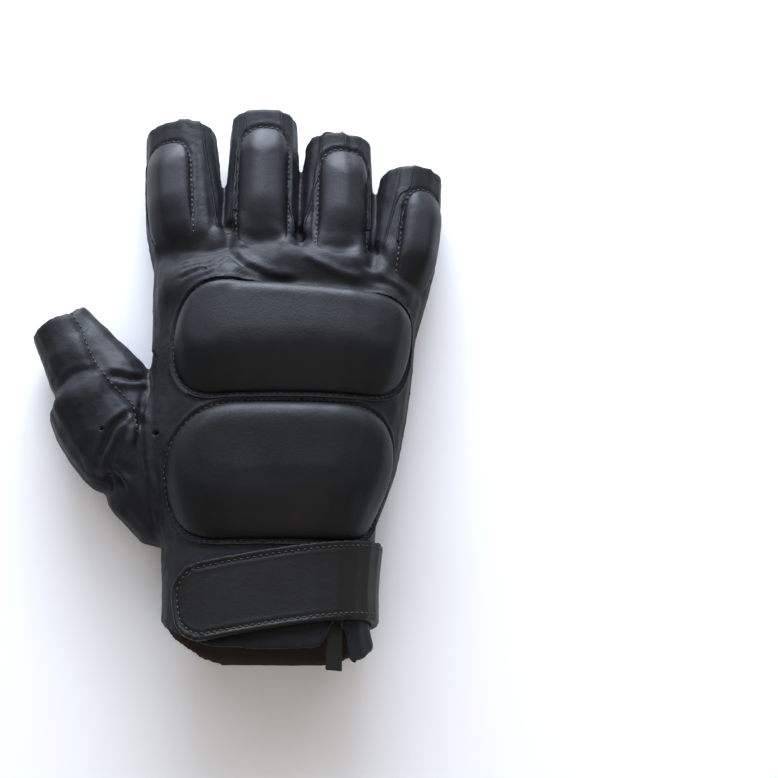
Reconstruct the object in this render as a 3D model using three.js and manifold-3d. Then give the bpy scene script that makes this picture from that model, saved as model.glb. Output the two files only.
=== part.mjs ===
// A right-hand padded half-finger work glove of black leather, lying palm down, in millimetres.
// +Y points to the fingertips, -X to the thumb and +Z up, away from the table.
// The hollow leather shell is lofted as five digits and a hand, then parted along its sewn seams.
import * as THREE from "three";
import { mergeVertices } from "three/addons/utils/BufferGeometryUtils.js";
import Module from "manifold-3d";

const wasm = await Module();
wasm.setup();

// Driving sizes of the hand
const handLength = 147;
const handWidth = 98;
const handHeight = 36;
const knuckleSlant = -0.15;
const slantStartsAt = 0.72;

// Thickness of each material, and the gap left between neighbours
const leatherWall = 1.6;
const gripThickness = 1;
const strapThickness = 3;
const tapeThickness = 1.4;
const seamGap = 0.3;

// Sizes of the digits
const fingerThickness = 21.5;
const fingerTipHeight = 10;
const fingerBuried = 28;
const fingertipDip = 3;
const fingerReach = 70;
const thumbLength = 95;
const thumbWidth = 40;
const thumbHeight = 29;
const thumbYaw = 34;
const thumbAcross = -0.28;
const thumbAlong = 0.28;
const thumbSeamAcross = 3.5;

// Sizes of the padding; middle is along the hand or finger, and around is off its centre line.
const padSizes = {
  index: { middle: 17.5, around: 0, length: 40, width: 17, thickness: 5, corner: 5.5, shoulder: 4.5 },
  middle: { middle: 22.7, around: 1.6, length: 43, width: 17, thickness: 5, corner: 5.5, shoulder: 4.5 },
  ring: { middle: 19, around: 1, length: 40, width: 17, thickness: 5, corner: 5.5, shoulder: 4.5 },
  little: { middle: 13.5, around: -0.5, length: 33, width: 15.5, thickness: 5, corner: 5.5, shoulder: 4.5 },
  knuckle: { middle: 106, around: 5.5, length: 38, width: 84, thickness: 8, corner: 15, shoulder: 9 },
  back: { middle: 59.6, around: 5, length: 45.8, width: 79, thickness: 8.5, corner: 19, shoulder: 9 },
};
const padEdge = 1.2;
const padBurial = 4;

// Sizes at the wrist
const strapWidth = 26;
const strapTilt = 9.5;
const strapCorner = 10;
const strapAlong = 0.127;
const strapReachLeft = 29.5;
const strapHem = 8.5;
const slitAcross = 21;
const slitWidth = 3;
const slitWidthAtTop = 0.8;
const slitDepth = 24;
const tapeWidth = 5.5;
const tapeOverhang = 6;
const cuffRise = { thumbSide: 12, fingerSide: 5, reach: 44 };

// How far a hollow runs out past an open end, so that the end is cut clean through
const mouthReach = 12;
const farAway = 150;

// The hand, from the cuff at 0 to the finger crotches at 1. Centre and half are shares of handWidth.
// Top, belly (the widest height) and sunk (how far the table cuts its round off) are shares of handHeight.
const handRows = [
  { at: 0.0, centre: -0.052, half: 0.352, top: 1.08, belly: 0.48, sunk: 0.04 },
  { at: 0.15, centre: -0.055, half: 0.354, top: 1.03, belly: 0.45, sunk: 0.076 },
  { at: 0.28, centre: -0.055, half: 0.375, top: 1.0, belly: 0.41, sunk: 0.1 },
  { at: 0.42, centre: -0.045, half: 0.425, top: 1.0, belly: 0.39, sunk: 0.1 },
  { at: 0.62, centre: -0.022, half: 0.458, top: 1.02, belly: 0.38, sunk: 0.1 },
  { at: 0.78, centre: -0.01, half: 0.469, top: 0.98, belly: 0.38, sunk: 0.1 },
  { at: 0.9, centre: 0.002, half: 0.488, top: 0.9, belly: 0.39, sunk: 0.1 },
  { at: 1.0, centre: 0.006, half: 0.495, top: 0.72, belly: 0.4, sunk: 0.1 },
];

// A finger, from its buried root at -1, past the crotch at 0, to its cut end at 1. Half and thick are
// shares of its own width and of fingerThickness; fall runs from knuckle height to fingerTipHeight.
const fingerRows = [
  { at: -1.0, half: 0.36, thick: 0.3, fall: -0.05 },
  { at: -0.45, half: 0.47, thick: 0.42, fall: 0.0 },
  { at: 0.0, half: 0.53, thick: 0.5, fall: 0.08 },
  { at: 0.33, half: 0.53, thick: 0.52, fall: 0.5 },
  { at: 0.66, half: 0.505, thick: 0.51, fall: 0.85 },
  { at: 1.0, half: 0.47, thick: 0.49, fall: 1.0 },
];

// Across and knuckle are shares of handWidth and handHeight; yaw and roll are degrees.
const fingers = [
  { name: "index", across: -0.375, knuckle: 0.43, length: 43, width: 27, yaw: 5, roll: -28 },
  { name: "middle", across: -0.097, knuckle: 0.48, length: 51.5, width: 25.4, yaw: 0.5, roll: -3 },
  { name: "ring", across: 0.173, knuckle: 0.47, length: 46, width: 25.2, yaw: -0.5, roll: 10 },
  { name: "little", across: 0.41, knuckle: 0.4, length: 37, width: 22.6, yaw: -6, roll: 42 },
];

// The thumb and the heel behind it, from deep inside the hand at 0 to the cut end at 1. Centre and half
// are shares of thumbWidth; rise, the middle height, and thick are shares of thumbHeight.
const thumbRows = [
  { at: 0.0, centre: 0.1, half: 0.3, rise: 0.42, thick: 0.28 },
  { at: 0.13, centre: 0.0, half: 0.45, rise: 0.44, thick: 0.42 },
  { at: 0.3, centre: -0.04, half: 0.46, rise: 0.46, thick: 0.46 },
  { at: 0.42, centre: -0.075, half: 0.5, rise: 0.47, thick: 0.5 },
  { at: 0.56, centre: -0.075, half: 0.5, rise: 0.47, thick: 0.5 },
  { at: 0.68, centre: -0.065, half: 0.48, rise: 0.46, thick: 0.48 },
  { at: 0.76, centre: -0.03, half: 0.41, rise: 0.43, thick: 0.43 },
  { at: 0.82, centre: -0.015, half: 0.36, rise: 0.41, thick: 0.4 },
  { at: 0.91, centre: 0.0, half: 0.31, rise: 0.39, thick: 0.36 },
  { at: 1.0, centre: 0.0, half: 0.27, rise: 0.38, thick: 0.33 },
];

// Folds pressed into the leather: around is the angle from the top of the section in degrees, and
// spread its reach; the rest are millimetres, with depth into the glove and width along it.
const folds = {
  hand: [
    { at: 0.915, around: -20, spread: 38, depth: 1.5, width: 4 },
    { at: 0.6, around: -10, spread: 60, depth: 1.2, width: 4 },
    { at: 0.33, around: 95, spread: 40, depth: 1.6, width: 7 },
    { at: 0.27, around: -60, spread: 40, depth: 1.4, width: 6 },
  ],
  finger: [
    { at: 0.45, around: 180, spread: 60, depth: 1.0, width: 4 },
    { at: 0.02, around: 180, spread: 50, depth: 1.0, width: 4 },
  ],
  thumb: [
    { at: 0.76, around: -75, spread: 60, depth: 2.0, width: 5 },
    { at: 0.6, around: 20, spread: 50, depth: 1.5, width: 6 },
    { at: 0.4, around: -50, spread: 50, depth: 1.5, width: 6 },
  ],
};

// The edge of the grip leather on the palm, as shares of handWidth across and of handLength along.
const palmGripOutline = [
  { across: 0.3, along: 0.09 },
  { across: 0.36, along: 0.25 },
  { across: 0.46, along: 0.45 },
  { across: 0.5, along: 0.7 },
  { across: 0.53, along: 0.88 },
  { across: 0.48, along: 0.945 },
  { across: 0.42, along: 0.965 },
  { across: 0.36, along: 0.945 },
  { across: 0.31, along: 0.92 },
  { across: 0.24, along: 0.94 },
  { across: 0.18, along: 0.965 },
  { across: 0.11, along: 0.95 },
  { across: 0.055, along: 0.92 },
  { across: -0.02, along: 0.955 },
  { across: -0.09, along: 0.965 },
  { across: -0.16, along: 0.945 },
  { across: -0.26, along: 0.88 },
  { across: -0.36, along: 0.86 },
  { across: -0.47, along: 0.89 },
  { across: -0.5, along: 0.77 },
  { across: -0.44, along: 0.65 },
  { across: -0.24, along: 0.61 },
  { across: -0.09, along: 0.55 },
  { across: -0.02, along: 0.42 },
  { across: -0.08, along: 0.28 },
  { across: -0.22, along: 0.17 },
  { across: -0.34, along: 0.09 },
];

// A narrow lens-shaped opening in that grip leather, under the little finger's knuckle.
const gripSlotOutline = [
  { across: 0.29, along: 0.655 },
  { across: 0.33, along: 0.66 },
  { across: 0.42, along: 0.71 },
  { across: 0.45, along: 0.74 },
  { across: 0.4, along: 0.725 },
  { across: 0.32, along: 0.685 },
];

// The edge of the grip leather under the thumb, as shares of thumbWidth across and thumbLength along.
const thumbGripOutline = [
  { across: -0.3, along: 0.46 },
  { across: -0.42, along: 0.56 },
  { across: -0.4, along: 0.7 },
  { across: -0.3, along: 0.82 },
  { across: 0.0, along: 0.86 },
  { across: 0.24, along: 0.83 },
  { across: 0.3, along: 0.72 },
  { across: 0.2, along: 0.62 },
  { across: -0.05, along: 0.5 },
];

const tableLevel = -(seamGap + gripThickness);
const radians = THREE.MathUtils.degToRad;
const smoothstep = THREE.MathUtils.smoothstep;

// Reads each column of a table as a smooth curve through its rows.
function curvesThrough(rows) {
  const places = rows.map((row) => row.at);
  const curves = {};
  for (const key of Object.keys(rows[0])) {
    curves[key] = new THREE.CubicInterpolant(places, rows.map((row) => row[key]), 1);
  }
  return (at) => {
    const values = {};
    for (const key of Object.keys(curves)) values[key] = curves[key].evaluate(at)[0];
    return values;
  };
}

// A soft tube has a section at each share of its run: its half width, its reach up and down from its
// widest height, its roll, and place(), which takes a section's point into the glove's frame.
const bluntness = 2.35;

function foldDepth(tube, at, angle) {
  let depth = 0;
  for (const fold of tube.folds) {
    const along = (tube.distance(at) - tube.distance(fold.at)) / fold.width;
    const turn = THREE.MathUtils.euclideanModulo(angle - radians(fold.around) + Math.PI, 2 * Math.PI);
    const around = (turn - Math.PI) / radians(fold.spread);
    depth += fold.depth * Math.exp(-along * along - around * around);
  }
  return depth;
}

// The closed outline of one section, top first and turning towards +side, grown outwards evenly.
function sectionOutline(tube, at, sides, grow) {
  const size = tube.section(at);
  const raw = [];
  for (let i = 0; i < sides; i++) {
    const angle = (2 * Math.PI * i) / sides;
    const across = Math.sin(angle);
    const upward = Math.cos(angle);
    const reach = upward > 0 ? size.up : size.down;
    raw.push(
      new THREE.Vector2(
        size.half * Math.sign(across) * Math.abs(across) ** (2 / bluntness),
        reach * Math.sign(upward) * Math.abs(upward) ** (2 / bluntness),
      ),
    );
  }
  const turn = radians(tube.roll);
  return raw.map((point, i) => {
    const before = raw[(i + sides - 1) % sides];
    const after = raw[(i + 1) % sides];
    const normal = new THREE.Vector2(before.y - after.y, after.x - before.x).normalize();
    const sunk = foldDepth(tube, at, (2 * Math.PI * i) / sides);
    const local = point.clone().addScaledVector(normal, grow - sunk);
    return {
      side: size.centre + local.x * Math.cos(turn) + local.y * Math.sin(turn),
      up: size.height - local.x * Math.sin(turn) + local.y * Math.cos(turn),
      normalSide: normal.x * Math.cos(turn) + normal.y * Math.sin(turn),
      normalUp: -normal.x * Math.sin(turn) + normal.y * Math.cos(turn),
    };
  });
}

function ringAt(tube, at, grow, shift) {
  return sectionOutline(tube, at, tube.sides, grow).map((point, i) => {
    const trim = tube.trim(at, (2 * Math.PI * i) / tube.sides);
    const placed = tube.place(tube.distance(at) + shift + trim, point.side, point.up);
    placed.z = Math.max(placed.z, tube.floor(at) - grow);
    return placed;
  });
}

// The point at an arc length around from the section's top, lifted off the surface.
const finelySided = 120;

function surfacePoint(tube, at, arc, lift) {
  const outline = sectionOutline(tube, at, finelySided, 0);
  const step = arc < 0 ? finelySided - 1 : 1;
  let here = 0;
  let left = Math.abs(arc);
  for (;;) {
    const next = (here + step) % finelySided;
    const stride = Math.hypot(outline[next].side - outline[here].side, outline[next].up - outline[here].up);
    if (left <= stride) {
      const share = left / stride;
      const mix = (key) => THREE.MathUtils.lerp(outline[here][key], outline[next][key], share);
      return tube.place(
        tube.distance(at),
        mix("side") + mix("normalSide") * lift,
        mix("up") + mix("normalUp") * lift,
      );
    }
    left -= stride;
    here = next;
  }
}

// The triangles over a ring's end, joining each point straight across to its mirror image.
function acrossRows(sides) {
  const triangles = [];
  for (let i = 0; i < sides / 2; i++) {
    const mirrored = (sides - i) % sides;
    if (i > 0) triangles.push([i, i + 1, mirrored]);
    if (i + 1 < sides / 2) triangles.push([i + 1, sides - i - 1, mirrored]);
  }
  return triangles;
}

// A closed solid through rings of points.
function solidThroughRings(rings) {
  const sides = rings[0].length;
  const lastRing = (rings.length - 1) * sides;
  const triangles = [];
  for (let i = 0; i < sides; i++) {
    const j = (i + 1) % sides;
    for (let k = 0; k < lastRing; k += sides) {
      triangles.push(k + i, k + j, k + sides + i, k + j, k + sides + j, k + sides + i);
    }
  }
  for (const [a, b, c] of acrossRows(sides)) {
    triangles.push(c, b, a, lastRing + a, lastRing + b, lastRing + c);
  }
  const points = rings.flat();
  return new wasm.Manifold(
    new wasm.Mesh({
      numProp: 3,
      vertProperties: new Float32Array(points.flatMap((p) => [p.x, p.y, p.z])),
      triVerts: new Uint32Array(triangles),
    }),
  );
}

// A tube as a solid, grown by an offset. A closed end grows too; a hollow runs out past an open end.
function tubeSolid(tube, grow) {
  const rings = tube.stations.map((at) => {
    const shut = at === tube.closedAt ? grow * tube.closedWay : 0;
    return ringAt(tube, at, grow, shut);
  });
  if (grow !== 0) {
    const beyond = ringAt(tube, tube.openAt, grow, -tube.closedWay * mouthReach);
    if (tube.closedWay > 0) rings.unshift(beyond);
    else rings.push(beyond);
  }
  return solidThroughRings(rings);
}

function evenly(from, to, count) {
  return Array.from({ length: count + 1 }, (_, i) => THREE.MathUtils.lerp(from, to, i / count));
}

// The hand is open at the cuff and shut at the crotches, which slant back towards the little finger.
const handCurves = curvesThrough(handRows);

// The cuff's edge is cut higher at both sides than in the middle, and most on the thumb's side.
function cuffTrim(at, angle) {
  const rise = Math.sin(angle) < 0 ? cuffRise.thumbSide : cuffRise.fingerSide;
  const fading = Math.max(0, 1 - (at * handLength) / cuffRise.reach);
  return rise * Math.abs(Math.sin(angle)) ** 3 * fading;
}

const hand = {
  sides: 28,
  roll: 0,
  folds: folds.hand,
  stations: evenly(0, 1, 16),
  openAt: 0,
  closedAt: 1,
  closedWay: 1,
  trim: cuffTrim,
  floor: () => 0,
  distance: (at) => at * handLength,
  share: (along) => along / handLength,
  section: (at) => {
    const row = handCurves(at);
    const height = row.belly * handHeight;
    return {
      centre: row.centre * handWidth,
      half: row.half * handWidth,
      height,
      up: row.top * handHeight - height,
      down: height + row.sunk * handHeight,
    };
  },
  place: (along, side, up) => {
    const slant = knuckleSlant * side * smoothstep(along / handLength, slantStartsAt, 1);
    return new THREE.Vector3(side, along + slant, up);
  },
};

// A digit's own frame: along it, across it and up.
function placeFrom(root, yaw) {
  const forward = new THREE.Vector3(-Math.sin(radians(yaw)), Math.cos(radians(yaw)), 0);
  const sideways = new THREE.Vector3(forward.y, -forward.x, 0);
  return (along, side, up) =>
    root.clone().addScaledVector(forward, along).addScaledVector(sideways, side).setZ(up);
}

const fingerCurves = curvesThrough(fingerRows);

function fingerTube(finger) {
  const root = hand.place(handLength, finger.across * handWidth, 0);
  return {
    ...finger,
    sides: 12,
    folds: folds.finger,
    stations: [-1, -0.4, 0, 0.25, 0.45, 0.7, 1],
    openAt: 1,
    closedAt: -1,
    closedWay: -1,
    trim: (at, angle) => (at < 1 ? 0 : (fingertipDip * (Math.cos(angle) - 1)) / 2),
    floor: (at) => tableLevel * smoothstep(at, -0.05, 0.3),
    distance: (at) => at * (at < 0 ? fingerBuried : finger.length),
    share: (along) => along / (along < 0 ? fingerBuried : finger.length),
    section: (at) => {
      const row = fingerCurves(at);
      const reach = row.thick * fingerThickness;
      return {
        centre: 0,
        half: row.half * finger.width,
        height: THREE.MathUtils.lerp(finger.knuckle * handHeight, fingerTipHeight, row.fall),
        up: reach,
        down: reach,
      };
    },
    place: placeFrom(root, finger.yaw),
  };
}

const fingerTubes = fingers.map(fingerTube);

const thumbCurves = curvesThrough(thumbRows);
const thumb = {
  sides: 16,
  roll: 0,
  folds: folds.thumb,
  stations: [0, 0.12, 0.24, 0.34, 0.43, 0.52, 0.61, 0.69, 0.76, 0.82, 0.9, 1],
  openAt: 1,
  closedAt: 0,
  closedWay: -1,
  trim: () => 0,
  floor: () => 0,
  distance: (at) => at * thumbLength,
  section: (at) => {
    const row = thumbCurves(at);
    const reach = row.thick * thumbHeight;
    return {
      centre: row.centre * thumbWidth,
      half: row.half * thumbWidth,
      height: row.rise * thumbHeight,
      up: reach,
      down: reach,
    };
  },
  place: placeFrom(new THREE.Vector3(thumbAcross * handWidth, thumbAlong * handLength, 0), thumbYaw),
};

const joined = (solids) => solids.reduce((sum, solid) => sum.add(solid));

// The whole glove as one filled body, grown by an offset.
function filledGlove(grow) {
  return joined([hand, ...fingerTubes, thumb].map((tube) => tubeSolid(tube, grow)));
}

// A point of a tube's frame as a plan corner.
function planPoint(tube, along, side) {
  const point = tube.place(along, side, 0);
  return [point.x, point.y];
}

// A plan outline, as [x, y] corners, pulled up from one height to another.
function prism(corners, low, high) {
  const shape = new THREE.Shape(corners.map(([x, y]) => new THREE.Vector2(x, y)));
  const geometry = new THREE.ExtrudeGeometry(shape, { depth: high - low, bevelEnabled: false });
  geometry.translate(0, 0, low);
  return solidOf(geometry);
}

// A profile in the YZ plane, as [y, z] corners, pulled right across the glove.
function sideProfile(corners) {
  const shape = new THREE.Shape(corners.map(([y, z]) => new THREE.Vector2(y, z)));
  const geometry = new THREE.ExtrudeGeometry(shape, { depth: 2 * farAway, bevelEnabled: false });
  geometry.translate(0, 0, -farAway);
  geometry.applyMatrix4(new THREE.Matrix4().makeBasis(
    new THREE.Vector3(0, 1, 0),
    new THREE.Vector3(0, 0, 1),
    new THREE.Vector3(1, 0, 0),
  ));
  return solidOf(geometry);
}

function solidOf(geometry) {
  const bare = new THREE.BufferGeometry().setAttribute("position", geometry.getAttribute("position"));
  if (geometry.index) bare.setIndex(geometry.index);
  const merged = mergeVertices(bare, 1e-4);
  return new wasm.Manifold(
    new wasm.Mesh({
      numProp: 3,
      vertProperties: merged.attributes.position.array,
      triVerts: new Uint32Array(merged.index.array),
    }),
  );
}

// The leather shell, parted along its seams.
const glove = filledGlove(0);
const seat = filledGlove(seamGap);
const shell = glove.subtract(filledGlove(-leatherWall));

// The thumb is sewn on just inside the hand's edge, from the heel to the web; past the web it is free.
const thumbSeamShare = 0.93;
const freeShare = 1.06;
const heelAt = 0.21;
const webAt = 0.7;
const freeFrom = 0.76;
const freeTo = 0.88;

function handEdge(at, share) {
  const size = hand.section(at);
  return planPoint(hand, hand.distance(at), size.centre - size.half * share);
}

function thumbRegion(gap) {
  const corners = evenly(heelAt, webAt, 8).map((at) => handEdge(at, thumbSeamShare));
  const [heelX, heelY] = corners[0];
  const clear = handEdge(freeFrom, freeShare);
  const beyond = handEdge(freeTo, freeShare);
  return prism(
    [
      [heelX - farAway, heelY - gap],
      [heelX + gap, heelY - gap],
      ...corners.slice(1).map(([x, y]) => [x + gap, y]),
      [clear[0] + gap, clear[1]],
      [beyond[0] + gap, beyond[1]],
      [heelX - farAway, beyond[1]],
    ],
    -farAway,
    farAway,
  );
}

const thumbShell = shell.intersect(thumbRegion(0));
const handShell = shell.subtract(thumbRegion(seamGap));

// One vertical seam along the thumb parts its outer panel from the one facing the index finger.
function besideThumbSeam(gap) {
  return prism(
    [
      planPoint(thumb, -farAway, thumbSeamAcross + gap),
      planPoint(thumb, -farAway, farAway),
      planPoint(thumb, farAway, farAway),
      planPoint(thumb, farAway, thumbSeamAcross + gap),
    ],
    -farAway,
    farAway,
  );
}

// Heights of the seams: one around the hand, then two along the fingers with the side walls between.
const handSeamHeight = 0.36 * handHeight;
const knuckleSeamHeight = 0.44 * handHeight;
const sideWallAbove = 7;
const sideWallBelow = 5;
const crotchY = 0.95 * handLength;
const seamPartsOver = { before: 14, after: 4 };
const beyondTips = handLength + fingerReach;

// All that lies above, or below, the seam line at an offset from the fingers' middle height.
function heightRegion(offset, towards) {
  return sideProfile([
    [-farAway, handSeamHeight],
    [crotchY - seamPartsOver.before, handSeamHeight],
    [crotchY + seamPartsOver.after, knuckleSeamHeight + offset],
    [beyondTips, fingerTipHeight + offset],
    [beyondTips, towards],
    [-farAway, towards],
  ]);
}

const palmRegion = (gap) => heightRegion(-sideWallBelow, -farAway).translate([0, 0, gap]);

// Between two neighbouring fingers, from one's middle line to the other's.
const crotchDepth = 9;
const beyondTip = 30;

function sideWallRegion(left, right, gap) {
  const plan = prism(
    [
      planPoint(left, -crotchDepth - gap, -gap),
      planPoint(left, left.length + beyondTip, -gap),
      planPoint(right, right.length + beyondTip, gap),
      planPoint(right, -crotchDepth - gap, gap),
    ],
    -farAway,
    farAway,
  );
  return plan
    .subtract(heightRegion(sideWallAbove, farAway).translate([0, 0, gap]))
    .subtract(palmRegion(seamGap - gap));
}

const neighbours = [0, 1, 2].map((i) => [fingerTubes[i], fingerTubes[i + 1]]);
const sideWalls = neighbours.map(([left, right]) => ({
  name: `side_wall_${left.name}_${right.name}`,
  solid: handShell.intersect(sideWallRegion(left, right, 0)),
}));
const besideSideWalls = joined(neighbours.map(([left, right]) => sideWallRegion(left, right, seamGap)));

// The back of the cuff is slit, under the strap.
const slit = prism(
  [
    [slitAcross, -farAway],
    [slitAcross, slitDepth],
    [slitAcross + slitWidthAtTop, slitDepth],
    [slitAcross + slitWidth, 0],
    [slitAcross + slitWidth, -farAway],
  ],
  handSeamHeight,
  farAway,
);
const backPanel = handShell.subtract(palmRegion(seamGap)).subtract(besideSideWalls).subtract(slit);
const palmPanel = handShell.intersect(palmRegion(0));

// A foam pad under leather is a rounded rectangle laid on a tube. Its rings step in from the edge and
// up to the crown, and each row of the crown is closed straight across.
const crownSteps = [
  { inset: 0, rise: -1 },
  { inset: 0, rise: 0 },
  { inset: 0.14, rise: 0.5 },
  { inset: 0.45, rise: 0.86 },
  { inset: 1, rise: 1 },
];

function roundedRectangle(width, length, corner, sides) {
  const path = new THREE.Path();
  const side = width / 2 - corner;
  const end = length / 2 - corner;
  path.moveTo(width / 2, 0);
  path.absarc(side, end, corner, 0, Math.PI / 2, false);
  path.absarc(-side, end, corner, Math.PI / 2, Math.PI, false);
  path.absarc(-side, -end, corner, Math.PI, 1.5 * Math.PI, false);
  path.absarc(side, -end, corner, 1.5 * Math.PI, 2 * Math.PI, false);
  path.lineTo(width / 2, 0);
  return path.getSpacedPoints(sides).slice(0, sides);
}

function padSolid(tube, pad, sides) {
  const rings = crownSteps.map((step) => {
    const lift = step.rise < 0 ? -padBurial : THREE.MathUtils.lerp(padEdge, pad.thickness, step.rise);
    const inset = step.inset * pad.shoulder;
    const edge = [pad.width - 2 * inset, pad.length - 2 * inset, pad.corner - inset];
    return roundedRectangle(...edge, sides).map((point) =>
      surfacePoint(tube, tube.share(pad.middle + point.y), pad.around + point.x, lift),
    );
  });
  return solidThroughRings(rings).subtract(seat);
}

const bigPadSides = 36;
const fingerPadSides = 22;
const bigPad = (size) => padSolid(hand, size, bigPadSides);
const fingerPads = fingerTubes.map((tube) => ({
  name: `${tube.name}_pad`,
  solid: padSolid(tube, padSizes[tube.name], fingerPadSides),
}));

// The wrist strap lies over the back of the cuff and turns down round its little-finger side.
const strapCornerSegments = 6;

function strapOutline() {
  const shape = new THREE.Shape();
  const half = strapWidth / 2;
  const cornerX = strapCorner - strapReachLeft;
  const cornerY = half - strapCorner;
  shape.moveTo(handWidth, half);
  shape.lineTo(cornerX, half);
  shape.absarc(cornerX, cornerY, strapCorner, Math.PI / 2, Math.PI, false);
  shape.absarc(cornerX, -cornerY, strapCorner, Math.PI, 1.5 * Math.PI, false);
  shape.lineTo(handWidth, -half);
  const middle = new THREE.Vector2(hand.section(strapAlong).centre, strapAlong * handLength);
  return shape.getPoints(strapCornerSegments).map((point) => {
    const turned = point.clone().rotateAround(new THREE.Vector2(), radians(strapTilt)).add(middle);
    return [turned.x, turned.y];
  });
}

const strap = filledGlove(seamGap + strapThickness)
  .subtract(seat)
  .intersect(prism(strapOutline(), strapHem, farAway));

// A tape is sewn inside the slit's edge and hangs out below the cuff.
const tapeSeat = leatherWall + seamGap;
const tapeOutline = [
  [slitAcross - tapeWidth, -tapeOverhang],
  [slitAcross - seamGap, -tapeOverhang],
  [slitAcross - seamGap, slitDepth],
  [slitAcross - tapeWidth, slitDepth],
];
const slitTape = tubeSolid(hand, -tapeSeat)
  .subtract(tubeSolid(hand, -tapeSeat - tapeThickness))
  .intersect(prism(tapeOutline, handSeamHeight, farAway));

// Grip leather is laid over the palm and the thumb. Its flat underside is what the glove lies on.
const gripSkin = filledGlove(seamGap + gripThickness).subtract(seat);
const gripRise = strapHem - seamGap;

// A smooth closed line through a table of corners, given in a tube's own frame.
function smoothPlan(outline, tube, width, length, count) {
  const corners = outline.map(({ across, along }) => tube.place(along * length, across * width, 0));
  const curve = new THREE.CatmullRomCurve3(corners, true);
  return curve.getSpacedPoints(count).slice(0, count).map((point) => [point.x, point.y]);
}

const palmGripCorners = smoothPlan(palmGripOutline, hand, handWidth, handLength, 48);
const gripSlotCorners = smoothPlan(gripSlotOutline, hand, handWidth, handLength, 10);
const thumbGripCorners = smoothPlan(thumbGripOutline, thumb, thumbWidth, thumbLength, 18);
const palmGrip = gripSkin
  .intersect(prism(palmGripCorners, -farAway, gripRise))
  .subtract(prism(gripSlotCorners, -farAway, farAway))
  .subtract(thumbRegion(seamGap));
const thumbGrip = gripSkin.intersect(prism(thumbGripCorners, -farAway, gripRise)).intersect(thumbRegion(0));

// Each piece becomes a named mesh with its own material.
const leather = { color: 0x1b1d20, roughness: 0.45, metalness: 0 };
const padLeather = { color: 0x1f2124, roughness: 0.4, metalness: 0 };
const gripLeather = { color: 0x24282a, roughness: 0.85, metalness: 0 };
const strapLeather = { color: 0x1e1d1c, roughness: 0.55, metalness: 0 };
const tapeCloth = { color: 0x2b2a27, roughness: 0.75, metalness: 0 };

function meshOf(name, solid, finish) {
  const { numProp, vertProperties, triVerts } = solid.getMesh();
  const geometry = new THREE.BufferGeometry()
    .setAttribute("position", new THREE.BufferAttribute(new Float32Array(vertProperties), numProp))
    .setIndex(new THREE.BufferAttribute(new Uint32Array(triVerts), 1))
    .toNonIndexed();
  geometry.computeVertexNormals();
  const mesh = new THREE.Mesh(geometry, new THREE.MeshStandardMaterial(finish));
  mesh.name = name;
  return mesh;
}

const model = new THREE.Group();
model.add(
  meshOf("back_panel", backPanel, leather),
  meshOf("palm_panel", palmPanel, leather),
  ...sideWalls.map(({ name, solid }) => meshOf(name, solid, leather)),
  meshOf("thumb_outer_panel", thumbShell.subtract(besideThumbSeam(-seamGap)), leather),
  meshOf("thumb_inner_panel", thumbShell.intersect(besideThumbSeam(0)), leather),
  ...fingerPads.map(({ name, solid }) => meshOf(name, solid, padLeather)),
  meshOf("knuckle_pad", bigPad(padSizes.knuckle), padLeather),
  meshOf("back_pad", bigPad(padSizes.back), padLeather),
  meshOf("wrist_strap", strap, strapLeather),
  meshOf("slit_tape", slitTape, tapeCloth),
  meshOf("palm_grip", palmGrip, gripLeather),
  meshOf("thumb_grip", thumbGrip, gripLeather),
);

// The origin is the middle of the footprint, on the table.
const box = new THREE.Box3().setFromObject(model);
const middle = box.getCenter(new THREE.Vector3());
model.position.set(-middle.x, -middle.y, -box.min.z);

export default model;
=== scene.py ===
import math

import bmesh
import bpy
import numpy as np
from mathutils import Matrix, Vector, noise
from mathutils.bvhtree import BVHTree
from mathutils.kdtree import KDTree


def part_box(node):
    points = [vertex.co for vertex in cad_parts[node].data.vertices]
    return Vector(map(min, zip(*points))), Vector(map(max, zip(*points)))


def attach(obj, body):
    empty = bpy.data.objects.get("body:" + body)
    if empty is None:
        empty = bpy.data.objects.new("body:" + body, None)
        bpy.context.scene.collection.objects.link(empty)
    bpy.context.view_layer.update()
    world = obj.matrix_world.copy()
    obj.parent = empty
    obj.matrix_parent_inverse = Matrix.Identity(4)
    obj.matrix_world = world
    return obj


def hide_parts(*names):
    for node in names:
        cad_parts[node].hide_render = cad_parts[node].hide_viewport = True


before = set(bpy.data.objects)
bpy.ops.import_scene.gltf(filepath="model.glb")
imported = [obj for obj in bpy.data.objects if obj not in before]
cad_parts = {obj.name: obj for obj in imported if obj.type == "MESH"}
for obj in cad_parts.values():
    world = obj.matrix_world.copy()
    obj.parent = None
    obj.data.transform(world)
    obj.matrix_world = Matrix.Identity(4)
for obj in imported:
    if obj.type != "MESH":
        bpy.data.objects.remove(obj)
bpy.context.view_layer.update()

MM = 0.001

# Camera. It stands over the wrist's side of the table, 72 degrees above it and 620 mm from the glove,
# and its lens puts 2.9 pixels on a millimetre of the glove in a picture 778 pixels wide.
CAMERA_PLACE = (52.03, -195.55, 610.96)
CAMERA_TILT = 18
CAMERA_LENS = 83.2
CAMERA_SENSOR = 36
camera_lens = bpy.data.cameras.new("camera")
camera_lens.lens = CAMERA_LENS
camera_lens.sensor_width = CAMERA_SENSOR
camera = bpy.data.objects.new("camera", camera_lens)
camera.location = Vector(CAMERA_PLACE) * MM
camera.rotation_euler = (math.radians(CAMERA_TILT), 0, 0)
bpy.context.scene.collection.objects.link(camera)
bpy.context.scene.camera = camera
bpy.context.scene.view_settings.view_transform = "Standard"

# Table. A wide sheet of white background paper lies flat under the glove and runs on past the picture.
# Uncoated paper is matt: it shows no gleam, and takes the glove's soft shadow.
TABLE_SIZE = 6000
PAPER_COLOUR = "#f6f6f6"
PAPER_ROUGHNESS = 0.9


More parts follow.
